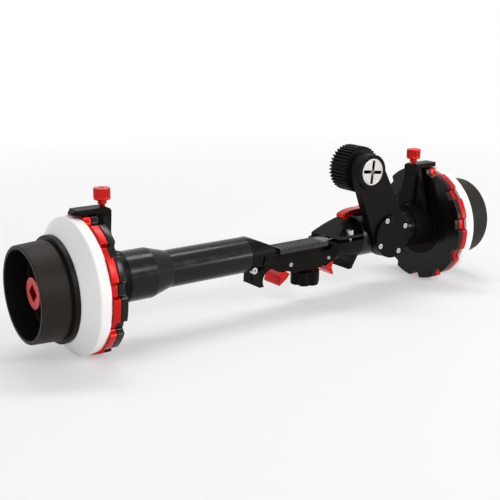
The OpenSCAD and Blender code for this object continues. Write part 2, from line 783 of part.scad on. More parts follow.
module gearbox_housing() {
    cavity = bevel_d * tan(bevel_tip) + 1.1;
    boss_end = back_in - 0.1;
    spigot_end = neck_end + spigot_big_len;
    color(black) on_axis() difference() {
        union() {
            difference() {
                union() {
                    along_x(barrel_end, pivot_x, barrel_r);
                    along_x(pivot_x, neck_end, tube_big_r);
                }
                arm_sweep();
            }
            along_y(pivot_x, 0, drum_front, 16, drum_r);
            along_y(pivot_x, 0, boss_end, drum_front, boss_r - run_fit);
            along_x(barrel_end - barrel_spigot, barrel_end, spigot_r);
            along_x(neck_end, spigot_end, spigot_big_r);
            translate([lever_x, 0, lever_z - 3.2]) cylinder(h = 3.1, r = 4.4);
        }
        along_x(barrel_end - barrel_spigot - 1, spigot_end + 1, shaft_r + 0.4);
        along_x(pivot_x - cavity, main_bearing_x, cavity);
        along_y(pivot_x, 0, -bevel_d - face_gap, cap_y, cavity + 0.5);
        along_y(pivot_x, 0, cap_y, 17, cap_r);
        along_y(pivot_x, 0, boss_end - 1, 0, cross_seat_r);
        along_x(main_bearing_x, main_bearing_x + 5, bearing_bore);
        along_x(neck_bearing_x, pivot_x, bearing_bore);
        along_x(neck_end - 4, spigot_end + 1, bearing_bore);
        translate([lever_x, 0, lever_z - 4.1]) cylinder(h = 6, r = 1.6);
    }
}

module gearbox_cap() {
    color(dark) on_axis() difference() {
        along_y(pivot_x, 0, cap_y, cap_y + cap_t, cap_r);
        along_y(pivot_x, 0, cap_y + cap_t - 1, cap_y + cap_t + 1, 0.7 * cap_r);
        for (a = [45 : 90 : 315]) along_y(pivot_x + 0.85 * cap_r * cos(a), 0.85 * cap_r * sin(a),
            cap_y + cap_t - 1.2, cap_y + cap_t + 1, 1.2);
    }
}

module gearbox_bearings() {
    color(steel) on_axis() {
        for (x = [neck_bearing_x, main_bearing_x]) difference() {
            along_x(x, x + 5, bearing_bore);
            along_x(x - 1, x + 6, shaft_r + run_fit);
        }
    }
}

module cross_bearing() {
    color(steel) on_axis() difference() {
        along_y(pivot_x, 0, back_in - 0.1, -bevel_d - face_gap, cross_seat_r);
        along_y(pivot_x, 0, -20, 0, cross_r + run_fit);
    }
}

module pivot_ring() {
    front = back_in - 0.1;
    color(steel) on_axis() difference() {
        along_y(pivot_x, 0, front - 0.5, front, boss_r + 0.9);
        along_y(pivot_x, 0, -20, 0, 6);
    }
}

// Bevel tooth ring: big end at z = 0, every edge runs to the apex at bevel_d
module bevel(turn) {
    tip = bevel_d * tan(bevel_tip);
    root = bevel_d * tan(bevel_root);
    pitch = 360 / bevel_teeth;
    linear_extrude(bevel_w, scale = (bevel_d - bevel_w) / bevel_d)
        polygon([for (k = [0 : bevel_teeth - 1]) each [
            for (p = [[root, -5.2], [bevel_d, -2.9], [tip, -1.2], [tip, 1.2], [bevel_d, 2.9], [root, 5.2]])
                p[0] * [cos(k * pitch + turn + p[1]), sin(k * pitch + turn + p[1])]]]);
}

module drive_bevel() {
    color(steel) on_axis() difference() {
        union() {
            translate([pivot_x + bevel_d, 0, 0]) rotate([0, -90, 0]) bevel(0);
            along_x(pivot_x + bevel_d, pivot_x + bevel_d + 2.6, 7);
        }
        along_x(pivot_x, pivot_x + bevel_d + 5, shaft_r);
    }
}

module driven_bevel() {
    color(steel) on_axis() translate([pivot_x, 0, 0]) difference() {
        translate([0, -bevel_d, 0]) rotate([-90, 0, 0]) bevel(180 / bevel_teeth);
        along_y(0, 0, -12, 0, cross_r);
    }
}

module cross_shaft() {
    color(steel) on_axis() {
        along_y(pivot_x, 0, gear_back, -shaft_r - 1, cross_r);
        along_y(pivot_x, 0, gear_back - gear_w, gear_back, 2.5);
        along_y(pivot_x, 0, arm_front - 0.6, gear_back - gear_w, 2);
    }
}

// Involute spur gear outline, a tooth centred on +Y when turn is 0
function inv_point(base, t) = base * [cos(t) + t * PI / 180 * sin(t), sin(t) - t * PI / 180 * cos(t)];
function inv_angle(base, r) = sqrt(pow(r / base, 2) - 1) * 180 / PI;

module spur(teeth, turn) {
    pitch_r = gear_module * teeth / 2;
    base = pitch_r * cos(20);
    tip = pitch_r + gear_module;
    root = pitch_r - 1.25 * gear_module;
    low = max(base, root);
    at_pitch = inv_point(base, inv_angle(base, pitch_r));
    backlash = 0.06;
    flank = [for (k = [0 : 4]) let (r = low + (tip - low) * k / 4, p = inv_point(base, inv_angle(base, r)))
        [norm(p), atan2(p[1], p[0])]];
    full = 90 / teeth - backlash / pitch_r * 90 / PI + atan2(at_pitch[1], at_pitch[0]);
    polygon([for (k = [0 : teeth - 1]) let (c = 90 + turn + 360 * k / teeth) each concat(
        [root * [cos(c - full - 0.2), sin(c - full - 0.2)]],
        [for (f = flank) f[0] * [cos(c - full + f[1]), sin(c - full + f[1])]],
        [for (j = [4 : -1 : 0]) flank[j][0] * [cos(c + full - flank[j][1]), sin(c + full - flank[j][1])]],
        [root * [cos(c + full + 0.2), sin(c + full + 0.2)]])]);
}

// Arm frame: z runs from the pivot to the spindle
module on_arm() {
    translate([pivot_x, 0, drive_h]) rotate([0, -lean, 0]) children();
}

// Two arcs and their common tangents, drawn as one line of short flats
module link_outline(r0, r1) {
    b = asin((r0 - r1) / arm_len);
    polygon(concat(
        [for (k = [0 : 36]) let (a = 180 - b + (180 + 2 * b) * k / 36) r0 * [cos(a), sin(a)]],
        [for (k = [0 : 30]) let (a = b + (180 - 2 * b) * k / 30) [r1 * cos(a), arm_len + r1 * sin(a)]]));
}

module drive_pinion() {
    color(steel) on_arm() difference() {
        plate_y(gear_back - gear_w, gear_back) spur(end_teeth, 0);
        along_y(0, 0, -20, 0, 2.5 + run_fit);
    }
}

module idler(z) {
    color(steel) on_arm() translate([0, 0, z]) difference() {
        plate_y(gear_back - gear_w, gear_back) spur(idler_teeth, 0);
        along_y(0, 0, -20, 0, pin_r + run_fit);
        for (a = [0 : 72 : 288]) along_y(4.8 * cos(a), 4.8 * sin(a), -20, 0, 1.5);
    }
}

module idler_pins() {
    color(steel) on_arm() for (z = [idler_1, idler_2])
        along_y(0, z, arm_front + 0.6, arm_rear - 0.5, pin_r);
}

module cover_screw_places() {
    for (a = [0 : 90 : 270]) rotate([0, -a - cover_screw_a, 0]) translate([cover_screw_c, 0, 0]) children();
}

module arm_shell() {
    color(black) on_arm() difference() {
        union() {
            plate_y(arm_front, back_in) link_outline(arm_pivot_r, arm_tip_r);
            along_y(0, arm_len, cover_front, arm_front + 0.5, arm_tip_r - 0.2);
        }
        plate_y(arm_front + arm_wall, back_in + 1) link_outline(cavity_r, cavity_r);
        along_y(0, 0, arm_front - 1, back_in + 1, mouth_r);
        along_y(0, 0, back_in - 1, back_in + 1, boss_r + 1.3);
        along_y(0, arm_len, arm_front - 5, 0, journal_r + run_fit);
        along_y(0, arm_len, arm_front - 5, arm_front, screw_disc_r + ring_gap);
        for (z = [idler_1, idler_2]) along_y(0, z, arm_front + 0.6, 0, pin_r);
        cover_screw_places() along_y(0, 0, arm_front - 1, arm_front + 1.1, 1.2);
    }
}

module arm_back() {
    color(dark) on_arm() difference() {
        plate_y(back_in, arm_rear) link_outline(arm_pivot_r, arm_tip_r);
        along_y(0, 0, -20, 0, boss_r);
        along_y(0, arm_len, -20, 0, journal_r + run_fit);
        for (z = [idler_1, idler_2]) along_y(0, z, back_in - 1, arm_rear - 0.5, pin_r);
    }
}

module arm_cover() {
    color(black) on_arm() difference() {
        union() {
            along_y(0, 0, cover_front, arm_front, arm_pivot_r);
            along_y(0, 0, arm_front, arm_front + arm_wall - 0.1, mouth_r);
        }
        along_y(0, 0, arm_front - 0.8, 0, 2 + run_fit);
        cover_screw_places() {
            along_y(0, 0, cover_front - 1, cover_front + 1.7, 2.2);
            along_y(0, 0, cover_front, 0, 1.2);
        }
    }
}

module cover_screws() {
    color(steel) on_arm() cover_screw_places() {
        difference() {
            along_y(0, 0, cover_front + 0.2, cover_front + 1.7, 1.85);
            along_y(0, 0, cover_front - 2, cover_front + 1, 0.9, $fn = 6);
        }
        along_y(0, 0, cover_front + 1.7, arm_front + 1, 1.2);
    }
}

module spindle() {
    color(steel) on_arm() translate([0, 0, arm_len]) difference() {
        union() {
            along_y(0, 0, arm_front + 0.1, arm_rear - 0.1, journal_r);
            plate_y(gear_back - gear_w, gear_back) spur(end_teeth, 180 / end_teeth);
            along_y(0, 0, cover_front + 0.2, arm_front - 0.1, screw_disc_r);
            along_y(0, 0, arm_front - 0.2, arm_front + 0.2, journal_r);
            along_y(0, 0, arm_rear - 0.1, arm_rear + face_gap, journal_r);
            along_y(0, 0, arm_rear + face_gap, lens_front + lens_w, seat_r);
            along_y(0, 0, lens_front + lens_w, lens_front + lens_w + 2, seat_r - 0.4);
        }
        for (a = [0, 90]) rotate([0, a, 0]) translate([-7.5, cover_front - 1, -0.8]) cube([15, 2.4, 1.6]);
    }
}

module lens_gear() {
    color(black) on_arm() translate([0, 0, arm_len]) difference() {
        union() {
            plate_y(lens_front, lens_front + lens_w) spur(lens_teeth, 0);
            along_y(0, 0, arm_rear + face_gap, lens_front + 1, arm_tip_r - 0.6);
        }
        along_y(0, 0, -20, 20, seat_r);
        difference() {
            along_y(0, 0, lens_front + lens_w - 2, lens_front + lens_w + 1, 12.5);
            along_y(0, 0, lens_front + lens_w - 3, lens_front + lens_w + 2, 7.5);
        }
    }
}

at_wheel(true) grip();  // left_grip
at_wheel(false) grip();  // right_grip
at_wheel(true) socket();  // left_socket
at_wheel(false) socket();  // right_socket
at_wheel(true) disc();  // left_disc
at_wheel(false) disc();  // right_disc
at_wheel(true) disc_screw_set();  // left_disc_screws
at_wheel(false) disc_screw_set();  // right_disc_screws
at_wheel(true) hub();  // left_hub
at_wheel(false) hub();  // right_hub
at_wheel(true) retainer();  // left_retainer
at_wheel(false) retainer();  // right_retainer
at_wheel(true) red_ring();  // left_red_ring
at_wheel(false) red_ring();  // right_red_ring
at_wheel(true) red_grub();  // left_red_grub
at_wheel(false) red_grub();  // right_red_grub
at_wheel(true) black_ring();  // left_black_ring
at_wheel(false) black_ring();  // right_black_ring
at_wheel(true) bearing();  // left_bearing
at_wheel(false) bearing();  // right_bearing
at_wheel(true) bracket();  // left_bracket
at_wheel(false) bracket();  // right_bracket
at_wheel(true) bracket_screw_set();  // left_bracket_screws
at_wheel(false) bracket_screw_set();  // right_bracket_screws
at_wheel(true) pointer();  // left_pointer
at_wheel(false) pointer();  // right_pointer
at_wheel(true) thumbscrew();  // left_thumbscrew
at_wheel(false) thumbscrew();  // right_thumbscrew
main_shaft();
extension_tube();
bridge_body();
collar_screw();
barrel_screw();
thumb_rest();
rest_screw();
left_jaw();
right_jaw();
jaw_pins();
draw_bar();
clamp_knob();
lock_lever();
lever_screw();
gearbox_housing();
gearbox_cap();
gearbox_bearings();
cross_bearing();
pivot_ring();
drive_bevel();
driven_bevel();
cross_shaft();
drive_pinion();
arm_shell();
arm_back();
arm_cover();
cover_screws();
idler(idler_1);  // idler_near
idler(idler_2);  // idler_far
idler_pins();
spindle();
lens_gear();
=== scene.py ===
# %% [markdown]
# # A follow focus unit, dressed over its CAD frame
# The CAD model holds every part at its real size. This script gives the parts
# their finish and adds the shapes that a machinist's drawing leaves out: the
# ribs of the grips, the rounded edges of turned parts, and the rubbed corners.
# The frame is loaded first, because everything else is measured from it.

# %% Load the frame
import bpy
import bmesh
import json
import math
import numpy as np
from mathutils import Euler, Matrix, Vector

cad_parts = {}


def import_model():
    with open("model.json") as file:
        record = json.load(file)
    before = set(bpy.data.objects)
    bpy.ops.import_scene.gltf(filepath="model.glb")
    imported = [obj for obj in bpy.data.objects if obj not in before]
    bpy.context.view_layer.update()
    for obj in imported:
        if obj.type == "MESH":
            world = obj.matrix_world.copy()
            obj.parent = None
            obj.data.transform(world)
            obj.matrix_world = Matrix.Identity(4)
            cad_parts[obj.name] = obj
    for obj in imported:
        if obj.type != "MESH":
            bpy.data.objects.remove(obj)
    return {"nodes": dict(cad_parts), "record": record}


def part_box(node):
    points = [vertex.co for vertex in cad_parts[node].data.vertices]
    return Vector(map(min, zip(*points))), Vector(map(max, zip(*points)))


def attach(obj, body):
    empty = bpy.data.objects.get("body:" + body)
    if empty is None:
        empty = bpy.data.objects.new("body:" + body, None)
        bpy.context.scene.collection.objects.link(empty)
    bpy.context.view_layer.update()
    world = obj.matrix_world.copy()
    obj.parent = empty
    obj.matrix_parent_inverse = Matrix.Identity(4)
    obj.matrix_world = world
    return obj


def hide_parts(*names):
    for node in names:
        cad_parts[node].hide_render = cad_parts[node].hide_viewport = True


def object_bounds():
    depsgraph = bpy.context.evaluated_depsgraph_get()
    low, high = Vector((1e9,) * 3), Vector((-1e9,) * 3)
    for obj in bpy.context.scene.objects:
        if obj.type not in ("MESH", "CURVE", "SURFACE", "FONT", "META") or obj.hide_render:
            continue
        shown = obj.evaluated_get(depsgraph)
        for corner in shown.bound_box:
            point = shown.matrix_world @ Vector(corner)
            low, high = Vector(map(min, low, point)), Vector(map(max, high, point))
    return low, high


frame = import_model()
cad_low, cad_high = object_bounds()
MM = 0.001
print("CAD box in mm:", [round((b - a) / MM, 1) for a, b in zip(cad_low, cad_high)])

# %% [markdown]
# ## Where things are
# A few stations repeat the drawing's own dimensions. The drive shaft runs along
# X, 18 mm above the rods, and each wheel is described by the distance from the
# front rim of its grip, measured inwards.

# %% Stations on the drive shaft
AXIS_Z = 18 * MM
LEFT_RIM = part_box("left_grip")[0].x
RIGHT_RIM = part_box("right_grip")[1].x
SIDES = {"left": (LEFT_RIM, 1.0), "right": (RIGHT_RIM, -1.0)}
print("rims at", round(LEFT_RIM / MM, 1), "and", round(RIGHT_RIM / MM, 1), "mm")

# %% [markdown]
# ## Node materials
# Each finish is a small network of shader nodes. The helper keeps one tree and
# a running place for new nodes, so that a finish reads as a short recipe.
# Object coordinates are in metres, so a noise scale of 1000 gives grains of
# about a millimetre.

# %% A small recipe book for shader nodes
class Recipe:
    """One material's node tree. add() makes a node, sets its values and links its inputs."""

    FLAT, SHARP = 0.995, 0.8  # cosines of the rounded normal's turn on a flat and on a sharp edge

    def __init__(self, name, base, roughness, metallic=0.0):
        self.material = bpy.data.materials.new(name)
        self.material.use_nodes = True
        self.tree = self.material.node_tree
        self.shader = self.tree.nodes["Principled BSDF"]
        self.shader.inputs["Base Color"].default_value = (*base, 1)
        self.shader.inputs["Roughness"].default_value = roughness
        self.shader.inputs["Metallic"].default_value = metallic
        self.place = self.add("ShaderNodeTexCoord").outputs["Object"]

    def add(self, kind, settings=None, **links):
        node = self.tree.nodes.new(kind)
        for key, value in (settings or {}).items():
            if key in node.inputs:
                node.inputs[key].default_value = value
            else:
                setattr(node, key, value)
        for key, source in links.items():
            self.tree.links.new(source, node.inputs[key.replace("_", " ")])
        return node

    def join(self, source, target):
        self.tree.links.new(source, target)

    def feed(self, name, source):
        """Link a value to one of the shader's own inputs."""
        self.join(source, self.shader.inputs[name])

    def noise(self, scale, detail=3.0, stretch=(1, 1, 1)):
        """Fractal noise on Object coordinates; stretch draws it out along an axis."""
        lay = self.add("ShaderNodeMapping", {"Scale": stretch}, Vector=self.place)
        node = self.add("ShaderNodeTexNoise", {"Scale": scale, "Detail": detail},
                        Vector=lay.outputs["Vector"])
        return node.outputs["Fac"]

    def remap(self, value, low, high, to_low, to_high):
        node = self.add("ShaderNodeMapRange", {"From Min": low, "From Max": high,
                                               "To Min": to_low, "To Max": to_high}, Value=value)
        return node.outputs["Result"]

    def spread(self, noise, to_low, to_high):
        """Noise stays mostly between 0.3 and 0.7, so that range is stretched to the wanted one."""
        return self.remap(noise, 0.3, 0.7, to_low, to_high)

    def times(self, first, second):
        node = self.add("ShaderNodeMath", {"operation": "MULTIPLY"})
        self.join(first, node.inputs[0])
        self.join(second, node.inputs[1])
        return node.outputs[0]

    def blend(self, factor, first, second):
        """Mix of two colours (tuples) by a value."""
        node = self.add("ShaderNodeMix", {"data_type": "RGBA"})
        node.inputs[6].default_value = (*first, 1)
        node.inputs[7].default_value = (*second, 1)
        self.join(factor, node.inputs[0])
        return node.outputs[2]

    def edges(self, radius):
        """0 on flats, 1 on sharp edges: how far a rounded normal turns from the true one."""
        soft = self.add("ShaderNodeBevel", {"samples": 6, "Radius": radius})
        flat = self.add("ShaderNodeNewGeometry")
        dot = self.add("ShaderNodeVectorMath", {"operation": "DOT_PRODUCT"})
        self.join(soft.outputs["Normal"], dot.inputs[0])
        self.join(flat.outputs["True Normal"], dot.inputs[1])
        sharp = self.remap(dot.outputs["Value"], self.FLAT, self.SHARP, 0.0, 1.0)
        return soft.outputs["Normal"], sharp

    def bump(self, height, strength, distance, normal=None):
        node = self.add("ShaderNodeBump", {"Strength": strength, "Distance": distance},
                        Height=height)
        if normal is not None:
            self.join(normal, node.inputs["Normal"])
        self.feed("Normal", node.outputs["Normal"])


# %% [markdown]
# ## Black anodised aluminium
# Anodising grows a thin dyed oxide on the metal. It looks black head-on, but a
# low light turns it to a warm grey, and blasted parts keep a fine grain. The
# white room is mirrored in full, so a dark base with only a faint gloss keeps it
# black. Rubbed corners are a shade lighter, and the roughness wanders a little.

# %% Black finishes
GRAIN_DEPTH = 0.03 * MM
EDGE_BREAK = 0.25 * MM


def anodised(name, base, worn, roughness, grain, specular=0.06):
    r = Recipe(name, base, roughness)
    r.shader.inputs["Specular IOR Level"].default_value = specular
    normal, edge = r.edges(EDGE_BREAK)
    cloud = r.noise(160, 4)
    rubbed = r.times(edge, r.remap(cloud, 0.35, 0.65, 0.15, 0.55))
    r.feed("Base Color", r.blend(rubbed, base, worn))
    r.feed("Roughness", r.spread(cloud, roughness - 0.05, roughness + 0.07))
    r.bump(r.noise(grain, 2), 0.12, GRAIN_DEPTH, normal)
    return r.material


BLACK = anodised("satin_black_anodised", (0.0058, 0.0048, 0.0042), (0.055, 0.05, 0.046),
                 roughness=0.34, grain=5200)
SLEEK = anodised("turned_black_anodised", (0.005, 0.0042, 0.0038), (0.06, 0.052, 0.047),
                 roughness=0.2, grain=5200, specular=0.22)
print("black finishes:", BLACK.name, SLEEK.name)

# %% [markdown]
# ## Red anodised aluminium
# The same oxide dyed red. The dye is clear, so the metal shines through it: the
# shader is mostly metallic with a deep red colour, and its edges take a painted
# orange highlight.

# %% Red finish
def red_anodised():
    r = Recipe("red_anodised", (0.62, 0.01, 0.008), 0.3, 0.7)
    normal, edge = r.edges(EDGE_BREAK)
    # The lighter orange on the edges is a painted highlight.
    r.feed("Base Color", r.blend(edge, (0.56, 0.006, 0.004), (0.86, 0.07, 0.035)))
    r.feed("Roughness", r.spread(r.noise(220, 4), 0.2, 0.32))
    r.bump(r.noise(4200, 2), 0.1, GRAIN_DEPTH, normal)
    return r.material


RED = red_anodised()

# %% [markdown]
# ## Turned steel, the writing disc, rubber and moulded plastic
# Screws and the spindle's coin screw are bright turned steel with a faint lathe
# grain. The disc is white acetal that takes a marker pen, so it is matte with
# pen-wiped smears in its roughness. The thumb rest is a rubber moulding with
# some sheen and the lens gear a satin plastic one.

# %% Bright and pale finishes
def turned_steel(name, base, roughness):
    r = Recipe(name, base, roughness, 1.0)
    normal, _ = r.edges(0.12 * MM)
    grain = r.noise(2600, 3, (1, 0.15, 1))
    r.feed("Base Color", r.blend(grain, tuple(0.82 * c for c in base), base))
    r.feed("Roughness", r.spread(grain, roughness - 0.06, roughness + 0.1))
    r.bump(grain, 0.1, 0.02 * MM, normal)
    return r.material


def writing_disc():
    r = Recipe("white_acetal", (0.9, 0.9, 0.9), 0.42)
    normal, _ = r.edges(0.35 * MM)
    smear = r.noise(90, 4, (1, 1, 0.4))
    r.feed("Base Color", r.blend(smear, (0.88, 0.88, 0.87), (0.93, 0.93, 0.93)))
    r.feed("Roughness", r.spread(smear, 0.36, 0.5))
    r.bump(r.noise(3000, 2), 0.05, 0.02 * MM, normal)
    return r.material


def moulded(name, base, roughness, grain, specular=0.1):
    r = Recipe(name, base, roughness)
    r.shader.inputs["Specular IOR Level"].default_value = specular
    normal, edge = r.edges(0.2 * MM)
    speck = r.noise(grain, 3)
    r.feed("Base Color", r.blend(edge, base, tuple(2.2 * c for c in base)))
    r.feed("Roughness", r.spread(speck, roughness - 0.06, roughness + 0.08))
    r.bump(speck, 0.35, GRAIN_DEPTH, normal)
    return r.material


# Radii at which the grip's painted shade in the cup and on the flange fades to the outside colour.
CUP_R, WALL_R = 26.6 * MM, 27.4 * MM
WALL_END, FLANGE_START = 30.0 * MM, 30.4 * MM


def grip_finish_with_painted_shade():
    """Brown-black outside; the cup and the flange get a painted shade of near black, by radius
    from the shaft.
    """
    r = Recipe("grip_black", (0.03, 0.023, 0.018), 0.42)
    r.shader.inputs["Specular IOR Level"].default_value = 0.12
    normal, _ = r.edges(0.2 * MM)
    from_shaft = r.add("ShaderNodeVectorMath", {"operation": "SUBTRACT"})
    r.join(r.place, from_shaft.inputs[0])
    from_shaft.inputs[1].default_value = (0, 0, AXIS_Z)
    flat = r.add("ShaderNodeVectorMath", {"operation": "MULTIPLY"})
    r.join(from_shaft.outputs[0], flat.inputs[0])
    flat.inputs[1].default_value = (0, 1, 1)
    radius = r.add("ShaderNodeVectorMath", {"operation": "LENGTH"})
    r.join(flat.outputs[0], radius.inputs[0])
    past_cup = r.remap(radius.outputs["Value"], CUP_R, WALL_R, 0.0, 1.0)
    before_flange = r.remap(radius.outputs["Value"], WALL_END, FLANGE_START, 1.0, 0.0)
    outside = r.times(past_cup, before_flange)
    speck = r.noise(1500, 3, (1, 0.6, 0.6))
    worn = r.blend(speck, (0.011, 0.0082, 0.0063), (0.025, 0.019, 0.015))
    colour = r.add("ShaderNodeMix", {"data_type": "RGBA"})
    r.join(outside, colour.inputs[0])
    # The near black in the cup and on the flange is painted shade.
    colour.inputs[6].default_value = (0.004, 0.0036, 0.0034, 1)
    r.join(worn, colour.inputs[7])
    r.feed("Base Color", colour.outputs[2])
    r.feed("Roughness", r.spread(speck, 0.34, 0.52))
    r.bump(speck, 0.4, 0.08 * MM, normal)
    return r.material


STEEL = turned_steel("turned_steel", (0.6, 0.59, 0.57), 0.24)
BRIGHT = turned_steel("bright_steel", (0.62, 0.6, 0.58), 0.27)
# Dark steel for the coin screw's slot floors: painted shade.
SLOT_SHADE_STEEL = turned_steel("slot_steel_painted_shade", (0.16, 0.15, 0.14), 0.4)
INNER = turned_steel("plain_steel", (0.36, 0.35, 0.34), 0.38)
WHITE = writing_disc()
RUBBER = moulded("rest_rubber", (0.014, 0.013, 0.012), roughness=0.22, grain=2400, specular=0.4)
GEAR = moulded("gear_plastic", (0.006, 0.0056, 0.0052), roughness=0.36, grain=3800)
GRIP = grip_finish_with_painted_shade()
print("finishes:", [m.name for m in (RED, STEEL, INNER, WHITE, RUBBER, GEAR, GRIP)])

# %% [markdown]
# ## Giving the CAD parts their finish
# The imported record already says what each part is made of, so a table from
# material slot to finish dresses all sixty parts in one pass. The tube, the
# gearbox housing, both black rings, the spindle and the jaw pins then take a
# finish of their own.

# %% Dress the CAD parts
FINISH = {"black_anodised": BLACK, "grip_black": GRIP, "rest_black": RUBBER, "red_anodised": RED,
          "white_disc": WHITE, "steel_fasteners": STEEL, "steel_inner": INNER, "gear_black": GEAR}
for row in frame["record"]["subparts"]:
    mesh = frame["nodes"][row["node"]].data
    mesh.materials.clear()
    mesh.materials.append(FINISH[row["material_slot"]])
for name in ("extension_tube", "gearbox_housing", "left_black_ring", "right_black_ring"):
    frame["nodes"][name].data.materials[0] = SLEEK
frame["nodes"]["spindle"].data.materials[0] = BRIGHT
frame["nodes"]["jaw_pins"].data.materials[0] = INNER

# %% [markdown]
# ## Surfaces from a profile and an angle
# Wheels, knobs and screws are turned parts. Each is a profile of (station,
# radius) points carried round an axis, so the whole part is one grid: rows run
# along the profile and columns round the axis. Corners are softened first,
# because a real tool leaves a small edge break that catches the light.

# %% Profile helpers
def soften(points, radius, steps=5):
    """Each corner P becomes a curve from A to B: (1-t)^2 A + 2t(1-t) P + t^2 B."""
    p = np.asarray(points, float)
    want = np.broadcast_to(np.asarray(radius, float), len(p))
    back = np.roll(p, 1, axis=0) - p
    ahead = np.roll(p, -1, axis=0) - p
    back_len = np.linalg.norm(back, axis=1)
    ahead_len = np.linalg.norm(ahead, axis=1)
    a = p + back * (np.minimum(want, 0.45 * back_len) / back_len)[:, None]
    b = p + ahead * (np.minimum(want, 0.45 * ahead_len) / ahead_len)[:, None]
    t = np.linspace(0, 1, steps)[None, :, None]
    curve = (1 - t) ** 2 * a[:, None] + 2 * t * (1 - t) * p[:, None] + t ** 2 * b[:, None]
    return curve.reshape(-1, 2)


def fill(loop, gap, inside):
    """Even points on the loop's segments whose middle is inside: start + k/n of the way on."""
    ahead = np.roll(loop, -1, axis=0) - loop
    middle = loop + ahead / 2
    length = np.linalg.norm(ahead, axis=1)
    count = np.where(inside(middle), np.maximum(1, np.ceil(length / gap)), 1).astype(int)
    owner = np.repeat(np.arange(len(loop)), count)
    step = np.arange(count.sum()) - np.repeat(np.cumsum(count) - count, count)
    return loop[owner] + ahead[owner] * (step / count[owner])[:, None]


def half_profile(points, radius, steps=5):
    """The same softened corners on an open profile whose two ends lie on the axis."""
    ends = np.asarray(points, float)
    r = np.broadcast_to(np.asarray(radius, float), len(ends)).copy()
    r[[0, -1]] = 0
    soft = soften(np.vstack([ends, ends[-2:0:-1] * [1, -1]]), np.r_[r, r[-2:0:-1]], steps)
    return soft[soft[:, 1] > -1e-9][:len(ends) * steps]


print("a softened square has", len(soften([[0, 0], [1, 0], [1, 1], [0, 1]], 0.2)), "points")

# %% [markdown]
# ## From a grid to a closed mesh
# A grid becomes quads by joining each point to its neighbours. A ring-shaped
# piece closes both ways. A knob closes only round its axis, and its first and
# last rows shrink to a point, which merging doubles turns into a proper pole.
# The signed volume tells whether the faces look outwards.

# %% Skin a grid
BODY_OF = {node: body for body, nodes in frame["record"]["behaviour"]["bodies"].items()
           for node in nodes}
MERGE = 1e-7


def grid_quads(grid, ring):
    """Corners of the quads between neighbours: columns always close, rows only in a ring."""
    rows, cols = grid.shape[:2]
    number = np.arange(rows * cols).reshape(rows, cols)
    low, high = (number, np.roll(number, -1, axis=0)) if ring else (number[:-1], number[1:])
    return np.stack([low, np.roll(low, -1, 1), np.roll(high, -1, 1), high], -1).reshape(-1, 4)


def closed_mesh(node, grid, material, ring):
    """A (rows, columns, 3) grid in mm as a closed surface; volume = sum of a.(b x c)/6."""
    quads = grid_quads(grid, ring)
    points = grid.reshape(-1, 3) * MM
    a, b, c, d = (points[quads[:, k]] for k in range(4))
    volume = np.sum(a * np.cross(b, c)) + np.sum(a * np.cross(c, d))
    if volume < 0:
        quads = quads[:, ::-1]
    mesh = bpy.data.meshes.new(node + "_surface")
    mesh.from_pydata(points.tolist(), [], quads.tolist())
    work = bmesh.new()
    work.from_mesh(mesh)
    bmesh.ops.remove_doubles(work, verts=work.verts, dist=MERGE)
    work.to_mesh(mesh)
    work.free()
    mesh.polygons.foreach_set("use_smooth", np.ones(len(mesh.polygons), bool))
    mesh.set_sharp_from_angle(angle=math.radians(35))
    mesh.materials.append(material)
    piece = bpy.data.objects.new(node + "_surface", mesh)
    bpy.context.scene.collection.objects.link(piece)
    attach(piece, BODY_OF[node])
    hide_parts(node)
    print(piece.name, len(mesh.polygons), "faces, volume", round(abs(volume) / 6 / MM ** 3), "mm3")


def wheel_grid(side, loop, columns, shape=None):
    """Stations go inwards from the rim: (rim + way*s, r cos a, axis + r sin a)."""
    rim, way = SIDES[side]
    a = np.arange(columns) * 2 * math.pi / columns
    s, r = (np.repeat(loop[:, k:k + 1], columns, axis=1) for k in (0, 1))
    if shape is not None:
        r = shape(s, r, a[None, :])
    return np.stack([rim / MM + way * s, r * np.cos(a), AXIS_Z / MM + r * np.sin(a)], -1)


def upright_grid(x, loop, columns, shape=None):
    """Loop points are (height above the drive axis, radius) round a vertical axis at x."""
    a = np.arange(columns) * 2 * math.pi / columns
    z, r = (np.repeat(loop[:, k:k + 1], columns, axis=1) for k in (0, 1))
    if shape is not None:
        r = shape(z, r, a[None, :])
    return np.stack([x + r * np.cos(a), r * np.sin(a), AXIS_Z / MM + z], -1)


# %% [markdown]
# ## Hand grips
# The grip is a deep cup whose outside is knurled so that a damp hand holds it.
# Two families of shallow grooves cross at a slant and leave small diamonds.
# They are real geometry here, because the rim is seen edge-on and a bump map
# would leave its outline smooth.

# %% Knurled grips
GRIP_LEN, GROOVE_END, FLANGE_END = 17.0, 18.0, 21.4
GRIP_FRONT, GRIP_REAR, GROOVE_R, FLANGE_R = 28.6, 29.5, 28.5, 31.9
CUP_MOUTH, CUP_FLOOR_R, CUP_DEPTH, SOCKET_R = 26.2, 25.6, 15, 9.35
KNURL_TURNS, KNURL_PITCH, KNURL_DEPTH = 104, 2.1, 0.16


def knurl(s, r, a):
    """r + depth |sin(p) sin(q)|, p and q = turns a/2 +- pi s/pitch, faded out near both rims."""
    after_front = np.clip((s - 1.4) / 0.5, 0, 1)
    before_rear = np.clip((GRIP_LEN - 0.9 - s) / 0.5, 0, 1)
    band = after_front * before_rear * (r > 27.5)
    p = KNURL_TURNS * a / 2 + math.pi * s / KNURL_PITCH
    q = KNURL_TURNS * a / 2 - math.pi * s / KNURL_PITCH
    return r + band * KNURL_DEPTH * (np.abs(np.sin(p) * np.sin(q)) - 0.5)


def knurled(mid):
    return (mid[:, 1] > 28) & (mid[:, 0] < GRIP_LEN) & (mid[:, 0] > 0.6)


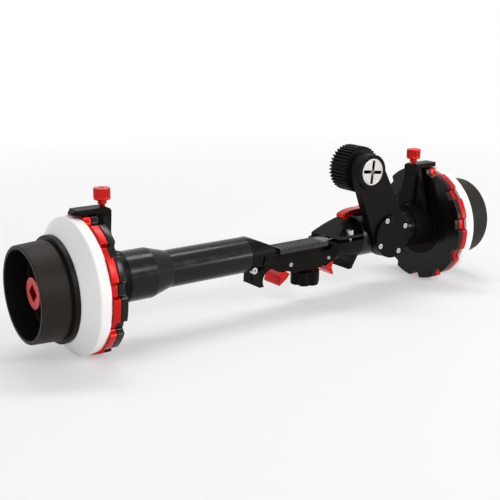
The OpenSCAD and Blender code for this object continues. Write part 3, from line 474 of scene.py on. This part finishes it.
CUP = [[0, CUP_MOUTH], [0, GRIP_FRONT], [GRIP_LEN, GRIP_REAR], [GRIP_LEN, GROOVE_R],
       [GROOVE_END, GROOVE_R], [GROOVE_END, FLANGE_R], [FLANGE_END, FLANGE_R],
       [FLANGE_END, SOCKET_R], [CUP_DEPTH, SOCKET_R], [CUP_DEPTH, CUP_FLOOR_R]]
for side in SIDES:
    loop = soften(CUP, [0.5, 0.7, 0.4, 0.2, 0.2, 0.5, 0.3, 0.3, 0.4, 1.2])
    loop = fill(loop, 0.42, knurled)
    closed_mesh(side + "_grip", wheel_grid(side, loop, KNURL_TURNS * 8, knurl), GRIP, ring=True)

# %% [markdown]
# ## Marking discs
# The focus puller writes on the white disc's cone with a pen. It is a thin
# turned shell with soft edges, and its rim runs back to the stop rings.

# %% White discs
DISC_BORE, DISC_R, DISC_REAR_R, DISC_END = 20, 41.2, 40.5, 36.2
SHELL = [[FLANGE_END, DISC_BORE], [FLANGE_END, FLANGE_R], [29.4, DISC_R], [DISC_END, DISC_REAR_R],
         [DISC_END, 38.1], [30.7, 38.2], [24.4, 31], [24.4, DISC_BORE]]
for side in SIDES:
    loop = soften(SHELL, [0.2, 0.5, 1.0, 0.6, 0.4, 1, 1, 0.2], 7)
    closed_mesh(side + "_disc", wheel_grid(side, loop, 360), WHITE, ring=True)

# %% [markdown]
# ## Stop rings
# Each wheel has a red and a black ring with eleven finger notches. A ring is a
# turned profile whose outer part is pulled in where a notch is, with a smooth
# step at each flank, so that the edge break follows round every lobe.

# %% Notched rings
LOBES, LOBE_R, NOTCH_R, INNER_R = 11, 41.9, 38.4, 30
NOTCH_HALF, NOTCH_FLANK = 4.4, 2.6  # degrees


def notched(s, r, a):
    """r - w (lobe - R(a)); R steps smoothly from notch to lobe across each flank."""
    turn = np.degrees(a) + 90
    off = np.abs((turn + 180 / LOBES) % (360 / LOBES) - 180 / LOBES)
    t = np.clip((off - NOTCH_HALF) / NOTCH_FLANK, 0, 1)
    outline = NOTCH_R + (LOBE_R - NOTCH_R) * t * t * (3 - 2 * t)
    return r - np.clip((r - INNER_R) / (LOBE_R - INNER_R), 0, 1) * (LOBE_R - outline)


RED_RING = [[36.4, 23.05], [36.4, LOBE_R], [41.0, LOBE_R], [41.0, 23.05]]
BLACK_RING = [[41.2, 21.05], [41.2, LOBE_R], [45.5, LOBE_R], [45.5, 28], [44.7, 28], [44.7, 22.9],
              [43.6, 22.9], [43.6, 21.05]]
RINGS = (("_red_ring", RED_RING, RED), ("_black_ring", BLACK_RING, SLEEK))
for side in SIDES:
    for node, profile, finish in RINGS:
        loop = soften(profile, np.where(np.asarray(profile)[:, 1] > 40, 0.6, 0.25), 6)
        loop = fill(loop, 2.5, lambda mid: mid[:, 1] > 29)
        closed_mesh(side + node, wheel_grid(side, loop, 990, notched), finish, ring=True)

# %% [markdown]
# ## Thumbscrews
# A red screw with a ribbed head holds each pointer. Fine ribs run along the
# head, with a plain band at each end, and a narrow neck lets the nail under it.

# %% Ribbed thumbscrews
LEG_TOP, POINTER_T, THUMB_S = 42.4, 2.9, 52.2
NECK = LEG_TOP + POINTER_T + 0.1
HEAD = NECK + 3.7
HEAD_R, HEAD_H, NECK_R, STUD_R, STUD_LEN = 5, 7, 2.7, 1.7, 10
HEAD_RIBS, HEAD_RIB_DEPTH = 30, 0.17


def ribbed(z, r, a):
    """r - depth (1 + cos(ribs a)) on the middle band of the head."""
    band = np.clip((z - HEAD - 0.9) / 0.4, 0, 1) * np.clip((HEAD + 6.1 - z) / 0.4, 0, 1) * (r > 4)
    return r - band * HEAD_RIB_DEPTH * (1 + np.cos(HEAD_RIBS * a))


def thumbscrew_loop():
    """The stepped half profile, with an even run of points put in along the head's side."""
    outline = [[LEG_TOP - STUD_LEN, 0], [LEG_TOP - STUD_LEN, STUD_R], [NECK + 1.3, STUD_R],
               [NECK + 1.3, NECK_R], [HEAD, NECK_R], [HEAD, HEAD_R], [HEAD + HEAD_H, HEAD_R],
               [HEAD + HEAD_H, 1.8], [HEAD + 6.6, 1.3], [HEAD + 6.6, 0]]
    loop = half_profile(outline, [0, 0.3, 0.2, 0.3, 0.3, 0.6, 0.6, 0.2, 0.2, 0])
    middle = np.c_[np.linspace(HEAD + 0.7, HEAD + 6.3, 22), np.full(22, float(HEAD_R))]
    past_bottom = loop[:, 0] >= HEAD + 0.65
    on_side = np.abs(loop[:, 1] - HEAD_R) < 0.7
    cut = np.flatnonzero(on_side & past_bottom)[0]
    return np.vstack([loop[:cut], middle, loop[cut:]])


for side, (rim, way) in SIDES.items():
    grid = upright_grid(rim / MM + way * THUMB_S, thumbscrew_loop(), 240, ribbed)
    closed_mesh(side + "_thumbscrew", grid, RED, ring=False)

# %% [markdown]
# ## Clamp knob
# The knob under the bridge draws both jaws on to the rods. Six deep rounded
# hollows give the fingers a hold, and a plain neck runs up into the bridge.

# %% Lobed knob
KNOB_X, KNOB_R, KNOB_TOP, KNOB_BOTTOM = 5.2, 10.4, -18.8, -28.3
COLLAR_R, COLLAR_TOP, SHANK_R, SHANK_TOP = 5, -16.1, 2.5, -7.6
HOLLOW_DEPTH, HOLLOW_WIDTH, HOLLOW_FLOOR_R = 2.2, 12, 7


def lobed(z, r, a):
    """r - depth exp(-(degrees from a hollow / width)^2), for the part outside the floor radius."""
    off = (np.degrees(a) - 15 + 30) % 60 - 30
    outer = np.clip((r - HOLLOW_FLOOR_R) / 3.4, 0, 1)
    return r - outer * HOLLOW_DEPTH * np.exp(-(off / HOLLOW_WIDTH) ** 2)


outline = [[KNOB_BOTTOM, 0], [KNOB_BOTTOM, KNOB_R], [KNOB_TOP, KNOB_R], [KNOB_TOP, COLLAR_R],
           [COLLAR_TOP, COLLAR_R], [COLLAR_TOP, SHANK_R], [SHANK_TOP, SHANK_R], [SHANK_TOP, 0]]
loop = half_profile(outline, [0, 1.4, 0.9, 0.4, 0.3, 0.2, 0.3, 0], 7)
closed_mesh("clamp_knob", upright_grid(KNOB_X, loop, 360, lobed), BLACK, ring=False)

# %% [markdown]
# ## Ribbed thumb rest
# The rest is a rubber pad with raised cross ribs and a round right end. Its
# outline shrinks towards a spine, so one grid covers the side and the top, and
# the ribs are a smooth wave along X that runs across the pad's whole width.

# %% Thumb rest
REST_LEFT, REST_RIGHT, REST_NEAR, REST_W, REST_Z, REST_T = -26.0, 18.9, -12.8, 11.2, -0.6, 4.0
RIB_PITCH, RIB_FIRST, RIB_LAST, RIB_DEPTH = 2.9, -25.0, 9.8, 1.6
REST_POINTS, TOP_ROWS = 110, 26


def rest_outline(count):
    """Outline as (x, width): square left end, straight side, quarter arc to the tip, and back."""
    half = REST_W / 2
    end = count // 3
    a = np.linspace(0, math.pi / 2, end)
    straight = np.linspace(REST_LEFT, REST_RIGHT - half, 2 * count)
    x = np.r_[np.full(end, REST_LEFT), straight[1:], REST_RIGHT - half + half * np.sin(a)[1:]]
    w = np.r_[np.linspace(0, half, end), np.full(2 * count - 1, half), half * np.cos(a)[1:]]
    return np.r_[x, x[-2:0:-1]], np.r_[w, -w[-2:0:-1]]


def rest_grid():
    """P = spine + v (outline - spine); z = top - depth (1 + cos)^2 / 4 on the upper part only."""
    x, w = rest_outline(REST_POINTS)
    half = REST_W / 2
    spine = np.clip(x, REST_LEFT + half, REST_RIGHT - half)
    edge = soften([[-1, 0], [0, 0], [0, 1], [-1, 1]], [0, 0.4, 0.4, 0], 6)[6:18] * [0.8, REST_T]
    v = np.r_[0, 0.5, 1 + edge[:, 0] / half, np.linspace(0.86, 0, TOP_ROWS)][:, None]
    z = np.r_[0, 0, edge[:, 1], np.full(TOP_ROWS, REST_T)][:, None]
    px = spine + v * (x - spine)
    py = v * w
    wave = (0.5 + 0.5 * np.cos((px - RIB_FIRST) * 2 * math.pi / RIB_PITCH)) ** 2
    along = np.clip((px - RIB_FIRST) / 0.6, 0, 1) * np.clip((RIB_LAST - px) / 0.6, 0, 1)
    low = RIB_DEPTH * wave * along * np.clip((z - 0.6 * REST_T) / 0.8, 0, 1)
    return np.stack([px, REST_NEAR + half + py, AXIS_Z / MM + REST_Z + z - low], -1)


closed_mesh("thumb_rest", rest_grid(), RUBBER, ring=False)

# %% [markdown]
# ## Coin screw
# The spindle ends in a wide bright disc that a coin can turn. Its two slots are
# broad, and their floor takes a much darker steel colour than the face: a painted
# shade.

# %% Coin face
COIN_R, COIN_BACK, COIN_FRONT, SLOT_HALF = 9.1, -20.0, -20.5, 1.15
SLOT_DEPTH, SLOT_TURN, COIN_COLS, FACE_ROWS = 0.4, 0.12, 540, 60
ARM_X, ARM_LEN, ARM_LEAN = 68.3, 52.8, math.radians(24.6)


def coin_face():
    """Height at (r, a): the front, less the depth where |u| or |w| is under the slot's half."""
    centre_x = ARM_X - ARM_LEN * math.sin(ARM_LEAN)
    centre_z = AXIS_Z / MM + ARM_LEN * math.cos(ARM_LEAN)
    a = np.arange(COIN_COLS)[None, :] * 2 * math.pi / COIN_COLS
    inner = np.linspace(0, COIN_R - 0.3, FACE_ROWS)
    r = np.r_[inner, COIN_R - 0.1, COIN_R, COIN_R, 0.5 * COIN_R, 0][:, None]
    level = np.r_[np.full(FACE_ROWS, COIN_FRONT), COIN_FRONT + 0.02, COIN_FRONT + 0.2,
                  np.full(3, COIN_BACK)]
    u, w = r * np.cos(a + SLOT_TURN), r * np.sin(a + SLOT_TURN)
    near = np.minimum(np.abs(u), np.abs(w))
    slot = np.clip((SLOT_HALF - near) / 0.15, 0, 1) * np.clip((0.88 * COIN_R - r) / 0.2, 0, 1)
    groove = np.clip((0.12 - np.abs(r - 0.9 * COIN_R)) / 0.06, 0, 1)
    top = np.arange(len(r))[:, None] < FACE_ROWS
    y = level[:, None] + SLOT_DEPTH * top * np.maximum(slot, 0.5 * groove)
    grid = np.stack([centre_x + r * np.cos(a), y, centre_z + r * np.sin(a)], -1)
    return grid, slot * top


grid, slot = coin_face()
coin = bpy.data.meshes.new("coin_face")
coin.from_pydata((grid.reshape(-1, 3) * MM).tolist(), [], grid_quads(grid, ring=False).tolist())
coin.materials.append(BRIGHT)
coin.materials.append(SLOT_SHADE_STEEL)
# The slot floors take the dark steel, a painted shade in the slots.
coin.polygons.foreach_set("material_index", (slot[:-1] > 0.5).astype(int).ravel())
work = bmesh.new()
work.from_mesh(coin)
bmesh.ops.remove_doubles(work, verts=work.verts, dist=MERGE)
if work.calc_volume(signed=True) < 0:
    bmesh.ops.reverse_faces(work, faces=work.faces)
work.to_mesh(coin)
work.free()
coin_piece = bpy.data.objects.new("coin_face", coin)
bpy.context.scene.collection.objects.link(coin_piece)
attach(coin_piece, BODY_OF["spindle"])
print("coin face with", len(coin.polygons), "faces")

# %% [markdown]
# ## The camera
# The photograph was taken from the front left and a little above. The camera's
# place, aim and lens were worked out from the rims of both wheels.

# %% Camera
CAMERA_PLACE = (-386.9 * MM, -487.4 * MM, 163.5 * MM + AXIS_Z)
CAMERA_TURN = 35.31
CAMERA_DIP = 15.10
CAMERA_ROLL = -0.11
LENS = 67.85
camera = bpy.data.objects.new("camera", bpy.data.cameras.new("camera"))
bpy.context.scene.collection.objects.link(camera)
camera.data.lens = LENS
camera.data.sensor_width = 36
camera.data.clip_start = 0.01
camera.location = CAMERA_PLACE
camera.rotation_euler = Euler((math.radians(90 - CAMERA_DIP), math.radians(CAMERA_ROLL),
                               math.radians(-CAMERA_TURN)), "XYZ")
bpy.context.scene.camera = camera
print("camera", [round(v / MM) for v in CAMERA_PLACE], "lens", LENS)

# %% [markdown]
# ## Floor, world and lamps
# A pale sweep carries the shadow. The world is white to the camera and in
# mirrored surfaces, and a softer grey as light. Four area lamps shape the rest.

# %% Studio
FLOOR_HALF, FLOOR_DROP = 6.0, 0.0002
FADE_FROM, FADE_TO = 0.3, 0.8  # metres from the middle, over which the floor turns plain white


def sees_background(tree):
    """1 for camera, glossy and transmission rays, 0 for the rays that only light the object."""
    path = tree.nodes.new("ShaderNodeLightPath")
    total = path.outputs["Is Camera Ray"]
    for kind in ("Is Glossy Ray", "Is Transmission Ray"):
        either = tree.nodes.new("ShaderNodeMath")
        either.operation = "MAXIMUM"
        tree.links.new(total, either.inputs[0])
        tree.links.new(path.outputs[kind], either.inputs[1])
        total = either.outputs[0]
    return total


def floor():
    r = Recipe("floor_white", (0.93, 0.93, 0.93), 0.7)
    mesh = bpy.data.meshes.new("floor")
    z = cad_low[2] - FLOOR_DROP
    corners = ((-1, -1), (1, -1), (1, 1), (-1, 1))
    mesh.from_pydata([(x * FLOOR_HALF, y * FLOOR_HALF, z) for x, y in corners], [], [(0, 1, 2, 3)])
    mesh.materials.append(r.material)
    obj = bpy.data.objects.new("floor", mesh)
    bpy.context.scene.collection.objects.link(obj)
    glow = r.add("ShaderNodeEmission", {"Color": (1, 1, 1, 1), "Strength": 1.0})
    mix = r.add("ShaderNodeMixShader")
    out = r.tree.nodes["Material Output"]
    far = r.add("ShaderNodeVectorMath", {"operation": "LENGTH"})
    r.join(r.place, far.inputs[0])
    fade = r.remap(far.outputs["Value"], FADE_FROM, FADE_TO, 0.35, 1.0)
    r.join(r.times(fade, sees_background(r.tree)), mix.inputs[0])
    r.join(r.shader.outputs[0], mix.inputs[1])
    r.join(glow.outputs[0], mix.inputs[2])
    r.join(mix.outputs[0], out.inputs["Surface"])


def world(seen, felt):
    w = bpy.data.worlds.new("studio")
    w.use_nodes = True
    bpy.context.scene.world = w
    tree = w.node_tree
    back = tree.nodes["Background"]
    strength = tree.nodes.new("ShaderNodeMix")
    tree.links.new(sees_background(tree), strength.inputs[0])
    strength.inputs[2].default_value = felt
    strength.inputs[3].default_value = seen
    tree.links.new(strength.outputs[0], back.inputs["Strength"])
    back.inputs["Color"].default_value = (1, 1, 1, 1)


def lamp(name, place, aim, size, power):
    data = bpy.data.lights.new(name, "AREA")
    data.shape = "RECTANGLE"
    data.size, data.size_y = size
    data.energy = power
    obj = bpy.data.objects.new(name, data)
    bpy.context.scene.collection.objects.link(obj)
    obj.location = place
    direction = np.subtract(aim, place)
    obj.rotation_euler = (math.atan2(math.hypot(direction[0], direction[1]), -direction[2]), 0,
                          math.atan2(direction[0], -direction[1]) + math.pi)


floor()
world(seen=1.0, felt=0.4)
lamp("key", (0.3, -1.1, 0.75), (0, 0, 0), (0.42, 0.3), 5.6)
lamp("front", (0.85, -1.05, 0.2), (0, 0, 0.02), (0.45, 0.22), 3.6)
lamp("top", (0.25, 0.35, 1.2), (0, 0, 0), (1.0, 0.25), 7)
lamp("side", (-1.1, -0.5, 0.55), (-0.1, 0, 0), (0.35, 0.35), 1.1)
bpy.context.scene.view_settings.view_transform = "Standard"
